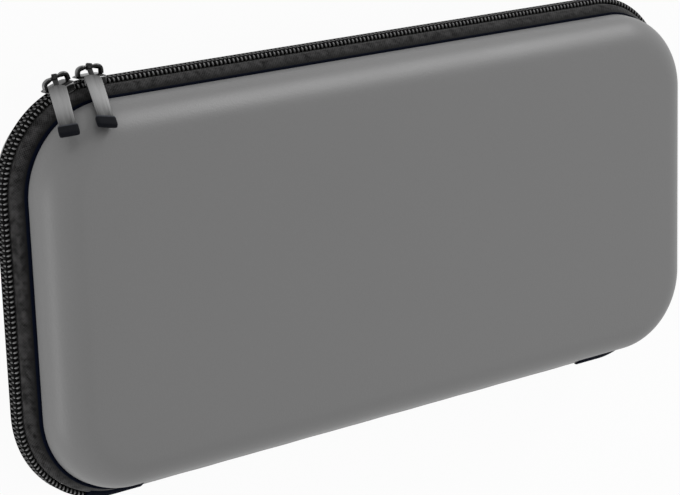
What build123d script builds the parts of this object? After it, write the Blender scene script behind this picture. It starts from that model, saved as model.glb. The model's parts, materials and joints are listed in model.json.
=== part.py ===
from build123d import *
import os
from math import atan2, cos, degrees, hypot, pi, radians, sin

# Portable game console case: two moulded half shells that fold on a soft spine and close with a
# coil zip with two sliders. The case lies on its back face: X runs along the zip side, +Y points
# from the spine to the zip, +Z is up through the front face. All sizes are in millimetres.

# Closed case, measured at the zip
case_length = 260.0
case_height = 125.5
front_depth = 21.5
back_depth = 17.5
corner_radius = 31.0

# Moulded half shells
rim_inset = 5.0
rim_rise = 7.5
draft_angle = 6.0
front_fillet = 11.5
back_fillet = 10.0
shell_wall = 4.5
lining_chamfer = 3.0

# Binding on each shell rim
binding_overhang = 0.4
binding_thickness = 0.8

# Zip tape and coil
tape_thickness = 0.6
tape_edge_width = 2.9
tape_gap = 1.0
coil_height = 2.2
coil_reach = 2.6
coil_overlap = 0.35
coil_pitch = 2.4
coil_wire = 0.8

# Cloth tabs over the ends of the zip
tab_length = 20.0
tab_inset = 0.2
tab_gap = 0.2
tab_width = 2.4

# Soft spine on the fold side
spine_length = 178.0
spine_thickness = 1.2
spine_end_gap = 0.4
spine_fold_inset = 0.6
spine_fold_radius = 1.6

# Inserts
insert_clearance = 0.3
tray_thickness = 3.6
grip_pocket_width = 36.0
grip_pocket_height = 74.0
grip_pocket_depth = 2.4
grip_pocket_corner = 10.0
grip_pocket_spacing = 176.0
panel_length = 200.0
panel_height = 80.0
panel_corner = 6.0
panel_thickness = 1.8
card_width = 36.0
card_count = 5
seam_width = 1.5
seam_depth = 0.6
pocket_height = 24.0
pocket_thickness = 1.2
pocket_row_gap = 10.0

# Sliders
slider_length = 9.0
slider_width = 6.8
slider_corner = 1.6
wing_thickness = 0.8
wing_clearance = 0.35
wing_edge = 0.1
wing_bevel = 1.3
lip_thickness = 0.6
lip_clearance = 0.5
back_wing_width = 6.4
back_wing_clearance = 0.65
crown_span = 7.8
crown_bar = 1.1
crown_corner = 1.0
bar_step = 0.03
right_slider_offset = 1.4
left_slider_turn = 17.2

# Zip pulls
eye_clearance = 0.6
eye_swing_gap = 0.45
eye_thickness = 0.5
strap_thickness = 0.75
strap_width = 5.2
strap_neck = 1.6
strap_end_width = 4.6
strap_shoulder = 4.5
strap_length = 26.6
strap_bow = 0.5
tip_length = 4.5
tip_width = 5.8
tip_thickness = 1.6
tip_round = 0.5
right_drop_angle = 30.2
right_lean_angle = 18.3
left_drop_angle = 21.0
left_lean_angle = 27.6

# Worked-out sizes
spine_half = spine_length / 2
straight_half = case_length / 2 - corner_radius
side_straight = case_height - 2 * corner_radius
arc_length = pi * corner_radius / 2
end_straight = straight_half - spine_half - spine_end_gap
chain_half = straight_half + 2 * arc_length + side_straight + end_straight
tape_edge = tape_gap / 2 + tape_edge_width
binding_base = rim_rise - binding_thickness
bar_radius = crown_bar / 2
eye_inner = bar_radius + eye_clearance
eye_outer = eye_inner + eye_thickness
wing_top = wing_clearance + wing_thickness
bar_height = wing_top + eye_outer + eye_swing_gap


def outline(inset):
    """Rounded outline of the case, set in from the crest of the zip."""
    return RectangleRounded(case_length - 2 * inset, case_height - 2 * inset, corner_radius - inset)


def ring(outer_inset, inner_inset, base, top):
    """Flat band between two insets of the outline."""
    return Pos(0, 0, base) * extrude(outline(outer_inset) - outline(inner_inset), top - base)


def dome(inset, base, top, edge_radius):
    """Drafted moulding with a rounded face edge."""
    body = Pos(0, 0, base) * extrude(outline(inset), top - base, taper=draft_angle)
    return fillet(body.faces().sort_by(Axis.Z)[-1].edges(), edge_radius)


def cavity(inset, base, top):
    """Hollow of a half shell: straight walls with a chamfer round the ceiling."""
    body = Pos(0, 0, base) * extrude(outline(inset), top - base)
    return chamfer(body.faces().sort_by(Axis.Z)[-1].edges(), lining_chamfer)


def half_shell(depth, edge_radius):
    """One moulded half, hollow, open at its rim."""
    hollow = cavity(rim_inset + shell_wall, rim_rise, depth - shell_wall)
    return dome(rim_inset, rim_rise, depth, edge_radius) - hollow


def spine_gap():
    """Room that the binding and the zip leave for the spine."""
    room = Box(spine_length + 2 * spine_end_gap, 2 * corner_radius, 2 * front_depth)
    return Pos(0, -case_height / 2, 0) * room


def rim_binding():
    """Binding sewn round the rim, between the shell and the zip tape, as far as the spine."""
    band = ring(rim_inset - binding_overhang, rim_inset + shell_wall, binding_base, rim_rise)
    return band - spine_gap()


def tape_block(inset):
    """Solid under one face of the tape: upright at the coil, then sloping in to the binding."""
    slope = binding_base - tape_edge
    run = rim_inset - coil_height
    upright = Pos(0, 0, tape_gap / 2) * extrude(outline(inset), tape_edge_width)
    sloping = Pos(0, 0, tape_edge) * extrude(outline(inset), slope, taper=degrees(atan2(run, slope)))
    return upright + sloping


def zip_tape():
    """Woven tape of one side of the zip, cut away where the spine takes over."""
    return tape_block(coil_height) - tape_block(coil_height + tape_thickness) - spine_gap()


def chain_place(distance):
    """Place on the zip crest, by the way round from the middle of the zip side.

    Local x runs along the chain, local y points out of the case.
    """
    side = 1 if distance >= 0 else -1
    way = abs(distance)
    if way <= straight_half:
        x, y, turn = way, case_height / 2, 0
    elif way <= straight_half + arc_length:
        turn = 90 * (way - straight_half) / arc_length
        x = straight_half + corner_radius * sin(radians(turn))
        y = side_straight / 2 + corner_radius * cos(radians(turn))
    elif way <= straight_half + arc_length + side_straight:
        turn = 90
        x = case_length / 2
        y = side_straight / 2 - (way - straight_half - arc_length)
    elif way <= straight_half + 2 * arc_length + side_straight:
        turn = 90 + 90 * (way - straight_half - arc_length - side_straight) / arc_length
        x = straight_half + corner_radius * sin(radians(turn))
        y = -side_straight / 2 + corner_radius * cos(radians(turn))
    else:
        turn = 180
        x = straight_half - (way - straight_half - 2 * arc_length - side_straight)
        y = -case_height / 2
    return Location((side * x, y, 0), (0, 0, -side * turn))


def zip_coil(low, high, phase):
    """Row of coil loops, one pitch apart, from height low to height high."""
    profile = Polyline((-coil_wire / 2, -coil_height), (coil_wire / 2, -coil_height), (0, 0), close=True)
    loop = Pos(0, 0, low) * extrude(make_face(profile), high - low)
    count = int((2 * (chain_half - tab_length) - coil_pitch) / coil_pitch)
    start = -count * coil_pitch / 2 + phase
    return Compound([chain_place(start + i * coil_pitch) * loop for i in range(count)])


def zip_tabs():
    """Cloth tabs that cover the two ends of one coil row."""
    band = ring(tab_inset, coil_height, tab_gap / 2, tab_gap / 2 + tab_width)
    middle = chain_half - tab_length / 2
    tabs = []
    for sign in (-1, 1):
        reach = chain_place(sign * middle) * Box(tab_length, corner_radius, case_height)
        tabs.extend((band & reach - spine_gap()).solids())
    return Compound(tabs)


def spine():
    """Soft folded strip that joins the two shell rims along the fold."""
    rim = rim_inset - case_height / 2
    fold = spine_fold_inset - case_height / 2
    through = spine_thickness * hypot(rim - fold, rim_rise) / rim_rise
    outside = [(rim, -rim_rise), (fold, 0), (rim, rim_rise)]
    inside = [(y + through, z) for y, z in reversed(outside)]
    profile = make_face(Polyline(*outside, *inside, close=True))
    folds = profile.vertices().sort_by(Axis.Y)[2:4]
    return extrude(Plane.YZ * fillet(folds, spine_fold_radius), spine_half, both=True)


def console_tray():
    """Moulded floor pad in the back half, with two pockets for the console's grips."""
    floor = back_depth - shell_wall
    top = floor - tray_thickness
    block = cavity(rim_inset + shell_wall + insert_clearance, top, floor)
    pocket = chamfer(Rectangle(grip_pocket_width, grip_pocket_height).vertices(), grip_pocket_corner)
    for sign in (-1, 1):
        block -= Pos(sign * grip_pocket_spacing / 2, 0, top) * extrude(pocket, grip_pocket_depth)
    return block


def card_panel():
    """Padded panel on the inside of the front half."""
    seat = front_depth - shell_wall
    plate = RectangleRounded(panel_length, panel_height, panel_corner)
    return Pos(0, 0, seat - panel_thickness) * extrude(plate, panel_thickness)


def card_pockets(row):
    """Strip of game card pockets sewn to the panel, with a seam between pockets; row is +1 or -1."""
    seat = front_depth - shell_wall - panel_thickness
    strip = Box(card_count * card_width, pocket_height, pocket_thickness)
    seam = Box(seam_width, pocket_height, seam_depth)
    for i in range(1, card_count):
        strip -= Pos((i - card_count / 2) * card_width, 0, (seam_depth - pocket_thickness) / 2) * seam
    return Pos(0, row * (pocket_height + pocket_row_gap) / 2, seat - pocket_thickness / 2) * strip


def wing_plan(width):
    """Column with a wing's plan, its corners cut, standing across the chain."""
    plan = chamfer(Rectangle(slider_length, width).vertices(), slider_corner)
    return extrude(Plane.XZ * plan, 2 * bar_height, both=True)


def slider_body():
    """Outer wing with bevelled edges and a lip over the front row, and the wing behind the tapes."""
    half = slider_width / 2
    lip_end = lip_clearance - coil_height
    section = [
        (wing_clearance, -half),
        (wing_clearance, half - lip_thickness),
        (lip_end, half - lip_thickness),
        (lip_end, half),
        (wing_clearance + wing_edge, half),
        (wing_top, half - wing_bevel),
        (wing_top, wing_bevel - half),
        (wing_clearance + wing_edge, -half),
    ]
    profile = make_face(Polyline(*section, close=True))
    outer = extrude(Plane.YZ * profile, slider_length / 2, both=True) & wing_plan(slider_width)
    back_top = -coil_height - tape_thickness - back_wing_clearance
    plate = Box(slider_length, wing_thickness, back_wing_width)
    inner = Pos(0, back_top - wing_thickness / 2, 0) * plate & wing_plan(back_wing_width)
    return Compound([*outer.solids(), *inner.solids()])


def slider_crown():
    """Bridge on the outer wing that the pull hangs on: two posts and a round bar."""
    post_top = bar_height + bar_radius
    post = Pos(0, (wing_top + post_top) / 2) * Rectangle(crown_bar, post_top - wing_top)
    side = Pos(crown_span / 2, 0) * post
    outer_corner = side.vertices().group_by(Axis.Y)[-1].sort_by(Axis.X)[-1]
    side = extrude(fillet(outer_corner, crown_corner), bar_radius, both=True)
    bar = Pos(0, bar_height, 0) * Rot(0, 90, 0) * Cylinder(bar_radius - bar_step, crown_span)
    return bar + side + mirror(side, about=Plane.YZ)


def pull_strap():
    """Flat strap with a narrow eye, hung along +Z from a bar on the X axis."""
    half = strap_thickness / 2
    top = eye_inner + eye_thickness / 2
    middle = (top + strap_length) / 2
    front = ThreePointArc((half, top), (half + strap_bow, middle), (half, strap_length))
    back = ThreePointArc((-half, strap_length), (strap_bow - half, middle), (-half, top))
    ends = [Line(front @ 1, back @ 0), Line(back @ 1, front @ 0)]
    side = make_face([front, ends[0], back, ends[1]])
    edge = [
        (strap_neck / 2, top),
        (strap_neck / 2, strap_shoulder),
        (strap_width / 2, strap_shoulder),
        (strap_end_width / 2, strap_length),
    ]
    plan = make_face(Polyline(*edge, *[(-x, z) for x, z in reversed(edge)], close=True))
    band = extrude(Plane.YZ * side, strap_width, both=True) & extrude(Plane.XZ * plan, tip_width, both=True)
    eye = extrude(Plane.YZ * (Circle(eye_outer) - Circle(eye_inner)), strap_neck / 2, both=True)
    return eye + band


def pull_tip():
    """Moulded grip on the end of the strap."""
    block = chamfer(Box(tip_width, tip_thickness, tip_length).edges(), tip_round)
    return Pos(0, 0, strap_length - tip_length / 2 + tip_round) * block - pull_strap()


def slider_set(name, place, drop, lean):
    """Slider and pull of one slider; the pull drops on to the front shell and leans on its bar."""
    hang = place * Pos(0, bar_height, 0) * Rot(drop, 0, 0) * Rot(0, -lean, 0)
    return {
        name + "_slider_body": place * slider_body(),
        name + "_slider_crown": place * slider_crown(),
        name + "_pull_strap": hang * pull_strap(),
        name + "_pull_tip": hang * pull_tip(),
    }


def front(part):
    """Lift a piece built on the parting plane to its place in the front half."""
    return Pos(0, 0, back_depth) * part


def back(part):
    """Mirror a piece built for the front half into the back half."""
    return front(mirror(part, about=Plane.XY))


right_place = chain_place(-straight_half + right_slider_offset)
left_place = chain_place(-straight_half - corner_radius * radians(left_slider_turn))

nodes = {
    "back_shell": back(half_shell(back_depth, back_fillet)),
    "back_rim_binding": back(rim_binding()),
    "back_zip_tape": back(zip_tape()),
    "back_zip_coil": front(zip_coil(-coil_reach, coil_overlap, coil_pitch / 2)),
    "back_zip_tabs": back(zip_tabs()),
    "spine_hinge": front(spine()),
    "console_tray": back(console_tray()),
    "front_shell": front(half_shell(front_depth, front_fillet)),
    "front_rim_binding": front(rim_binding()),
    "front_zip_tape": front(zip_tape()),
    "front_zip_coil": front(zip_coil(-coil_overlap, coil_reach, 0)),
    "front_zip_tabs": front(zip_tabs()),
    "card_panel": front(card_panel()),
    "upper_card_pockets": front(card_pockets(1)),
    "lower_card_pockets": front(card_pockets(-1)),
}
sliders = {
    **slider_set("left", left_place, left_drop_angle, left_lean_angle),
    **slider_set("right", right_place, right_drop_angle, right_lean_angle),
}
nodes.update({name: front(part) for name, part in sliders.items()})

os.makedirs("parts", exist_ok=True)
for name, part in nodes.items():
    export_step(part, f"parts/{name}.step")
    print(f"{name}: {len(part.solids())} solids, {part.volume / 1000:.2f} cm3")
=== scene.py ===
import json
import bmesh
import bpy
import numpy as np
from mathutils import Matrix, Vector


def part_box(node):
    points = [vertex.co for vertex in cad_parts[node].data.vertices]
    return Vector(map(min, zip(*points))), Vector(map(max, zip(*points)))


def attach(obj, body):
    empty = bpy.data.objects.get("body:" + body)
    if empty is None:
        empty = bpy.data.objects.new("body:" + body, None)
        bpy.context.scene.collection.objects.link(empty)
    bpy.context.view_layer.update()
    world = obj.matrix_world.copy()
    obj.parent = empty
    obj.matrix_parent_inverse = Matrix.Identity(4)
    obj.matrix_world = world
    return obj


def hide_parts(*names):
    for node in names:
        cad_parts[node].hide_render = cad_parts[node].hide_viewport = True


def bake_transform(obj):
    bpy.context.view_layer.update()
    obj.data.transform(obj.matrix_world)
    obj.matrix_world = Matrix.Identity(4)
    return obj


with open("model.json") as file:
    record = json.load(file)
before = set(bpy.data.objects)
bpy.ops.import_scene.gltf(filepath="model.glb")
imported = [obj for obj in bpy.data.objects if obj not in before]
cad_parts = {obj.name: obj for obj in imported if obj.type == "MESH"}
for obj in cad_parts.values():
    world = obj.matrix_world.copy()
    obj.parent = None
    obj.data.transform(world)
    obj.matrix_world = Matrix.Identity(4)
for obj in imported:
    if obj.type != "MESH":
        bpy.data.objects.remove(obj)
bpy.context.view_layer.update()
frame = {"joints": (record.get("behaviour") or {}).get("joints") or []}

# %% [markdown]
# # Portable game console case
# The case is two moulded half shells that fold on a soft spine and close with a coil zip. The CAD
# frame already holds every piece at its place, so this lesson gives each piece the surface that the
# solids leave out. All lengths are in metres, and a name in capitals is a size of the real object.

MM = 0.001

# %% [markdown]
# ## Sizes from the frame
# A zip case is drawn from one line: the crest of the closed zip, which runs round the case half way
# up. The coil's box gives that line's length and height, the left slider's joint gives the centre of
# a corner, and the lid's hinge gives the height of the parting plane. Reading them here, instead of
# typing them again, keeps the looks on the solids when the solids change.

# %% The crest line's sizes
joints = {joint["name"]: joint for joint in frame["joints"]}
coil_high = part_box("front_zip_coil")[1]
shell_low, shell_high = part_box("front_shell")
spine_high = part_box("spine_hinge")[1]
PARTING = joints["lid_fold"]["pos_m"][2]
HALF_LENGTH = coil_high.x
HALF_HEIGHT = coil_high.y
CORNER = HALF_LENGTH - abs(joints["left_slider_run"]["pos_m"][0])
RIM_INSET = HALF_LENGTH - shell_high.x
RIM_RISE = shell_low.z - PARTING
FRONT_DEPTH = shell_high.z - PARTING
BACK_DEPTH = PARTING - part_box("back_shell")[0].z
SPINE_HALF = spine_high.x
print(f"crest {2 * HALF_LENGTH:.4f} by {2 * HALF_HEIGHT:.4f}, corner {CORNER:.4f}, parting {PARTING:.4f}")


# %% [markdown]
# ## The crest as a formula
# A rounded rectangle could be traced by hand as a curve object, but then nothing else could ask it
# for a point. As a formula of the way round it gives any number of points and outward directions at
# once, and every strip of the case, from the shell's rim to the coil, is a profile carried along it.

# %% Points on a rounded rectangle
def outline(way, half_x=HALF_LENGTH, half_y=HALF_HEIGHT, corner=CORNER):
    """Points and outward directions on a rounded rectangle, by the way from the middle of its +Y side.

    The way is cut into straight, corner, side, corner and straight. Each part adds its share to x and
    y, and the two corner angles together turn the outward direction. Negative ways go to -X.
    """
    straight, side, arc = half_x - corner, 2 * (half_y - corner), corner * np.pi / 2
    distance = np.abs(way)
    hand = np.where(way < 0, -1.0, 1.0)
    first = np.clip((distance - straight) / corner, 0, np.pi / 2)
    down = np.clip(distance - straight - arc, 0, side)
    second = np.clip((distance - straight - arc - side) / corner, 0, np.pi / 2)
    back = np.maximum(distance - straight - 2 * arc - side, 0)
    x = np.minimum(distance, straight) + corner * (np.sin(first) + np.cos(second) - 1) - back
    y = half_y - corner * (1 - np.cos(first) + np.sin(second)) - down
    turn = first + second
    return np.stack([hand * x, y], -1), np.stack([hand * np.sin(turn), np.cos(turn)], -1)


def way_round(half_x=HALF_LENGTH, half_y=HALF_HEIGHT, corner=CORNER):
    """Half of the way round a rounded rectangle."""
    return 2 * (half_x - corner) + 2 * (half_y - corner) + np.pi * corner


ZIP_END = way_round() - SPINE_HALF - 0.4 * MM
print(f"half way round {way_round():.4f}, zip ends at {ZIP_END:.4f}")


# %% [markdown]
# ## From grids to meshes
# Every new piece is a grid of points: rows along a path, columns round a profile. One helper turns
# any such grid into a closed mesh. It joins the last row or column to the first where the shape
# closes on itself, puts a many-sided face over each open end, and keeps the grid's two measures as a
# UV map, so that weaves and brush marks can follow the surface.

# %% A grid becomes a closed piece
def make_piece(name, points, finishes, ring_rows=False, measures=None, finish_of_column=None, crease=40):
    """Closed mesh over grid points[row, column]: quads between neighbours, caps on the open ends.

    Columns close on themselves, unless ring_rows says that the rows do. The caps then close the ends
    of the other direction. measures are the UV values along rows and columns, one more where it closes.
    """
    if ring_rows:
        points = points.swapaxes(0, 1)
        measures = measures and measures[::-1]
    rows, columns = points.shape[:2]
    row, column = np.meshgrid(np.arange(rows - 1), np.arange(columns), indexing="ij")
    after = (column + 1) % columns
    corner_rows = np.stack([row, row + 1, row + 1, row], -1).reshape(-1, 4)
    corner_columns = np.stack([column, column, column + 1, column + 1], -1).reshape(-1, 4)
    quads = corner_rows * columns + np.stack([column, column, after, after], -1).reshape(-1, 4)
    caps = [list(range(columns)), list(range((rows - 1) * columns, rows * columns))]
    mesh = bpy.data.meshes.new(name)
    mesh.from_pydata(points.reshape(-1, 3).tolist(), [], quads.tolist() + caps)
    for finish in finishes:
        mesh.materials.append(finish.material)
    if measures is not None:
        along, across = (np.asarray(measure, float) for measure in measures)
        flat = np.stack([along[corner_rows], across[corner_columns]], -1).reshape(-1, 2)
        ends = np.stack([np.repeat([along[0], along[rows - 1]], columns), np.tile(across[:columns], 2)], -1)
        flat = np.concatenate([flat, ends])[:, ::-1 if ring_rows else 1]
        mesh.uv_layers.new(name="measure").data.foreach_set("uv", flat.astype(np.float32).ravel())
    if finish_of_column is not None:
        chosen = np.asarray(finish_of_column)[row.ravel() if ring_rows else column.ravel()]
        ends = [finish_of_column[0], finish_of_column[-1]]
        mesh.polygons.foreach_set("material_index", np.concatenate([chosen, ends]).astype(np.int32))
    shape = bmesh.new()
    shape.from_mesh(mesh)
    bmesh.ops.recalc_face_normals(shape, faces=shape.faces)
    shape.to_mesh(mesh)
    shape.free()
    mesh.shade_smooth()
    mesh.set_sharp_from_angle(angle=np.radians(crease))
    piece = bpy.data.objects.new(name, mesh)
    bpy.context.scene.collection.objects.link(piece)
    print(f"{name}: {len(mesh.vertices)} points, {len(mesh.polygons)} faces")
    return piece


def join(name, pieces):
    """Several meshes of one physical piece joined into one object."""
    shape = bmesh.new()
    for piece in pieces:
        shape.from_mesh(piece.data)
    mesh = pieces[0].data
    shape.to_mesh(mesh)
    shape.free()
    for piece in pieces[1:]:
        bpy.data.objects.remove(piece)
    pieces[0].name = name
    return pieces[0]


def fit(piece, body, slot, *nodes):
    """A finished piece moves with its CAD body and stands for its CAD nodes."""
    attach(piece, body)
    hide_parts(*nodes)
    return piece


def carry(way, out, rise, hand=1):
    """Profile (out, rise) carried along the crest: crest plus out times the outward direction.

    Rise is the height over the parting plane; hand -1 mirrors it into the back half.
    """
    point, outward = outline(way)
    flat = point[:, None] + np.asarray(out)[..., None] * outward[:, None]
    height = np.broadcast_to(PARTING + hand * np.asarray(rise), flat.shape[:2])
    return np.concatenate([flat, height[..., None]], -1)


def lengths(profile):
    """Way along a profile's points, closing on the first."""
    steps = np.linalg.norm(np.diff(np.vstack([profile, profile[:1]]), axis=0), axis=1)
    return np.concatenate([[0], np.cumsum(steps)])


def squared(value, power):
    """A sine or cosine with its size raised to a power below one, which makes a round section squarer."""
    return np.sign(value) * np.abs(value) ** power


print("grid helpers ready")


# %% [markdown]
# ## Shader arithmetic
# A finish is a recipe of nodes. Placing nodes one by one hides the formula, so a small class wraps a
# socket and lets ordinary arithmetic add the Math nodes. One method makes every other node: its type,
# its settings, and then the values or links of its sockets.

# %% Wires and finishes
class Wire:
    """A socket's value; arithmetic with other wires or numbers adds Math nodes."""

    def __init__(self, finish, socket):
        self.finish = finish
        self.socket = socket

    def math(self, operation, first, second=0.5):
        """A Math node on two values."""
        return self.finish.node("ShaderNodeMath", {"operation": operation}, {0: first, 1: second})

    def __add__(self, other):
        return self.math("ADD", self, other)

    def __radd__(self, other):
        return self.math("ADD", other, self)

    def __sub__(self, other):
        return self.math("SUBTRACT", self, other)

    def __rsub__(self, other):
        return self.math("SUBTRACT", other, self)

    def __mul__(self, other):
        return self.math("MULTIPLY", self, other)

    def __rmul__(self, other):
        return self.math("MULTIPLY", other, self)

    def __pow__(self, other):
        return self.math("POWER", self, other)

    def sine(self):
        return self.math("SINE", self)

    def clip(self):
        """The value kept between 0 and 1."""
        return self.math("MINIMUM", self.math("MAXIMUM", self, 0.0), 1.0)

    def output(self, name):
        """Another output of the same node."""
        return Wire(self.finish, self.socket.node.outputs[name])


class Finish:
    """A material or world in the making."""

    def __init__(self, name, owner=None):
        self.material = owner or bpy.data.materials.new(name)
        self.material.use_nodes = True
        self.tree = self.material.node_tree
        self.tree.nodes.clear()

    def node(self, kind, settings=None, sockets=None, output=0):
        """A node of any type: its settings first, then the values or links of its sockets."""
        made = self.tree.nodes.new(kind)
        for key, value in (settings or {}).items():
            setattr(made, key, value)
        for key, value in (sockets or {}).items():
            if isinstance(value, Wire):
                self.tree.links.new(value.socket, made.inputs[key])
            else:
                made.inputs[key].default_value = value
        return Wire(self, made.outputs[output]) if made.outputs else None

    def place(self, scale=(1.0, 1.0, 1.0), source="Object"):
        """Object or UV coordinates times a scale, in repeats per metre."""
        at = self.node("ShaderNodeTexCoord", None, None, source)
        return self.node("ShaderNodeVectorMath", {"operation": "MULTIPLY"}, {0: at, 1: scale})

    def axes(self, vector):
        """The separate parts of a vector."""
        x = self.node("ShaderNodeSeparateXYZ", None, {0: vector})
        return x, x.output("Y"), x.output("Z")

    def noise(self, vector, scale=1.0, detail=2.0, roughness=0.5):
        sockets = {"Vector": vector, "Scale": scale, "Detail": detail, "Roughness": roughness}
        return self.node("ShaderNodeTexNoise", None, sockets, "Fac")

    def cells(self, vector, scale=1.0):
        return self.node("ShaderNodeTexVoronoi", None, {"Vector": vector, "Scale": scale}, "Distance")

    def mix(self, factor, first, second):
        return self.node("ShaderNodeMix", {"data_type": "RGBA"}, {0: factor, 6: first, 7: second}, 2)

    def bump(self, height, distance, strength=1.0):
        sockets = {"Height": height, "Distance": distance, "Strength": strength}
        return self.node("ShaderNodeBump", None, sockets)

    def surface(self, sockets):
        """The finish ends in one Principled shader."""
        shader = self.node("ShaderNodeBsdfPrincipled", None, sockets)
        self.node("ShaderNodeOutputMaterial", None, {"Surface": shader})
        return self


def grey(level, tint=(1.0, 1.0, 1.0)):
    """A colour of one lightness with a slight tint."""
    return (level * tint[0], level * tint[1], level * tint[2], 1.0)


print("shader helpers ready")


# %% [markdown]
# ## Finishes
# The outside is a coated fabric with a very fine leather grain, moulded hot over foam. The grain is
# small cells of about half a millimetre, too small for geometry, so it is bump. Slow noise makes the
# sheen a little uneven, as pressing does. The spine is the same coat.

# %% Grey cover
def cover_finish(name, level):
    """Grey whose lightness follows slow and fine noise by 7 percent, with cells as bump."""
    finish = Finish(name)
    grain = finish.cells(finish.place(), 1900.0)
    pressing = finish.noise(finish.place(), 28.0, 3.0)
    fleck = finish.noise(finish.place(), 900.0, 2.0)
    shade = (pressing * 0.6 + fleck * 0.4).clip()
    return finish.surface({
        "Base Color": finish.mix(shade, grey(level * 0.93), grey(level * 1.07)),
        "Roughness": 0.36 + 0.1 * pressing + 0.06 * fleck,
        "Normal": finish.bump(grain, 0.00006, 0.5),
        "Specular IOR Level": 0.6,
    })


cover = cover_finish("grey_cover", 0.146)
spine_cover = cover_finish("spine_cover", 0.139)
print("cover made")

# %% [markdown]
# The zip tape is woven from polyester yarn. Two sine waves a yarn apart, one along and one across,
# give a plain weave when they are multiplied, in the tape's own UV measures so that it goes round the
# corners with the tape. Its lightness falls across its width towards the binding: this is painted shade,
# where the binding shades the tape. Loose fibres give it a little sheen. The binding is a finer and
# darker cloth, the pockets a coarser one.

# %% Woven cloths
def woven_finish(name, level, yarn, tint=(1.0, 1.0, 1.0), mottle=0.7, gloss=0.15, unshaded_width=1.0,
                 sheen=0.0):
    """Weave plus mottled fuzz; beyond a given width from the coil side the cloth darkens across, a painted
    shade.
    """
    finish = Finish(name)
    along, across, _ = finish.axes(finish.place((2 * np.pi / yarn,) * 3, "UV"))
    weave = 0.5 + 0.5 * (along.sine() * across.sine())
    fuzz = finish.noise(finish.place(), 480.0, 4.0, 0.6)
    # Painted shade: past the given width from the coil side, the colour is darkened towards the binding.
    _, width, _ = finish.axes(finish.place((1 / unshaded_width,) * 3, "UV"))
    painted_shade_factor = (2.6 - 1.6 * width).clip()
    shade = (0.6 * weave + mottle * (fuzz - 0.5) + 0.2).clip() * painted_shade_factor
    return finish.surface({
        "Base Color": finish.mix(shade, grey(level * 0.12, tint), grey(level * 1.9, tint)),
        "Roughness": 0.78 + 0.15 * fuzz,
        "Normal": finish.bump(weave + 0.5 * fuzz, 0.00008, 0.8),
        "Specular IOR Level": gloss,
        "Sheen Weight": sheen,
        "Sheen Roughness": 0.35,
    })


# The tape's colour carries painted shade towards the binding, past 4.3 mm from the coil side.
tape_cloth = woven_finish("zip_tape_weave", 0.028, 0.9 * MM, (1.0, 0.98, 0.99), 2.6, 0.1, 4.3 * MM, 0.22)
binding_cloth = woven_finish("binding_weave", 0.003, 0.5 * MM, (0.45, 0.8, 2.3), gloss=0.03)
pocket_cloth = woven_finish("pocket_weave", 0.035, 0.8 * MM)
print("cloths made")

# %% [markdown]
# The lining is a short brushed pile: noise at two sizes, one for the fibres and one for the patches
# that lie another way. It scatters light at grazing angles, which the shader's sheen gives.

# %% Brushed lining
def lining_finish(name, level):
    """Grey by the sum of fibre noise and patch noise, with the fibres as bump."""
    finish = Finish(name)
    fibre = finish.noise(finish.place(), 2200.0, 3.0, 0.7)
    patch = finish.noise(finish.place(), 45.0, 3.0)
    shade = (0.6 * fibre + 0.4 * patch).clip()
    return finish.surface({
        "Base Color": finish.mix(shade, grey(level * 0.6), grey(level * 1.4)),
        "Roughness": 0.88 + 0.1 * fibre,
        "Normal": finish.bump(fibre, 0.0002, 0.7),
        "Sheen Weight": 0.25,
        "Specular IOR Level": 0.1,
    })


lining = lining_finish("brushed_lining", 0.05)
print("lining made")

# %% [markdown]
# The coil is one nylon filament, black and a little glossy, and each loop carries a small painted glint,
# a paler patch in its colour. The slider is die-cast and lacquered black, and its edges wear to bare
# metal. Pointiness would find the edges in one renderer only, so each lacquered piece keeps its bare
# metal in its UV map: the sum of a value for the row and one for the column, broken up by noise. On the
# slider's body that is edge wear; on the top of the crown and the outside of the pull's eye it is a
# painted highlight. The filament keeps its painted glint the same way, as a product. The cord inside
# the winding is dull and almost black.

# %% Filament and lacquer
def filament_finish(name):
    """Black, with a painted glint: paler where the row's and the column's measures meet, streaked by noise.
    """
    finish = Finish(name)
    streak = finish.noise(finish.place(), 1500.0, 2.0)
    by_row, by_column, _ = finish.axes(finish.place(source="UV"))
    # Painted glint: the colour is paler where both UV measures are high.
    painted_highlight = (by_row * by_column * (0.7 + 0.6 * streak)).clip() ** 1.4
    return finish.surface({
        "Base Color": finish.mix(painted_highlight, grey(0.004), grey(0.26)),
        "Roughness": 0.22 + 0.16 * streak,
        "Specular IOR Level": 0.12,
    })


def cord_finish(name):
    """Dull black with fibre noise."""
    finish = Finish(name)
    fuzz = finish.noise(finish.place(), 1800.0, 2.0)
    return finish.surface({
        "Base Color": finish.mix(fuzz, grey(0.002), grey(0.005)),
        "Roughness": 0.85 + 0.1 * fuzz,
        "Specular IOR Level": 0.03,
    })


def lacquer_finish(name):
    """Black lacquer, bare metal where the UV measure times scuff noise passes a quarter: edge wear, and on
    the crown and the eye a painted highlight.
    """
    finish = Finish(name)
    orange_peel = finish.noise(finish.place(), 1200.0, 2.0)
    scuffs = finish.noise(finish.place(), 700.0, 4.0, 0.65)
    by_row, by_column, _ = finish.axes(finish.place(source="UV"))
    # Bare metal here is edge wear on the slider's body, and a painted highlight on the crown and the eye.
    wear_and_painted_highlight = ((by_row + by_column) * (0.4 + 1.2 * scuffs) - 0.25).clip()
    return finish.surface({
        "Base Color": finish.mix(wear_and_painted_highlight, grey(0.012), grey(0.3)),
        "Metallic": 0.8,
        "Roughness": 0.2 + 0.2 * wear_and_painted_highlight + 0.08 * orange_peel,
        "Normal": finish.bump(orange_peel, 0.00003, 0.4),
        "Specular IOR Level": 0.3,
    })


filament = filament_finish("coil_filament")
cord = cord_finish("filler_cord")
lacquer = lacquer_finish("slider_lacquer")
print("filament and lacquer made")

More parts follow.
